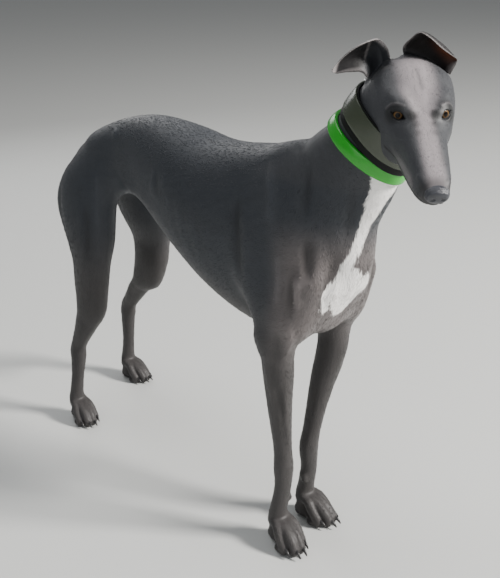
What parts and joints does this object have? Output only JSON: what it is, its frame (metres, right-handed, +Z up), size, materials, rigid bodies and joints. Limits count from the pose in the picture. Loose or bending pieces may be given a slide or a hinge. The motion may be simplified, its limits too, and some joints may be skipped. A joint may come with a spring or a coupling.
{
  "type": "greyhound",
  "caption": "Life-size standing greyhound with its head turned, folded ears, tucked belly, long tail and two collars; a one-piece still figure on four paws.",
  "frame": {"origin": "on the floor, under the middle of the bounding box, between the fore and the hind paws", "axes": "+Z up, -Y the way the body faces, +X to the dog's left; the head is turned to the dog's right"},
  "size_m": [0.2601, 1.0225, 0.8855],
  "materials": {
    "coat": "short sleek blue-grey fur with a white throat and chest patch",
    "ear_coat": "thin ear leather with very short dark fur",
    "eye": "wet amber eye with a dark pupil",
    "nose": "moist pebbled slate nose",
    "wide_band": "smooth satin grey-olive strap",
    "green_band": "bright green satin strap",
    "fitting": "bright polished metal wire"
  },
  "bodies": {
    "root": {"head": "coat", "neck": "coat", "torso": "coat", "tail": "coat", "fore_leg_left": "coat", "fore_leg_right": "coat", "hind_leg_left": "coat", "hind_leg_right": "coat", "ear_left": "ear_coat", "ear_right": "ear_coat", "eye_left": "eye", "eye_right": "eye", "nose": "nose", "collar_wide": "wide_band", "collar_green": "green_band", "collar_buckle": "fitting", "collar_ring": "fitting"}
  },
  "joints": []
}
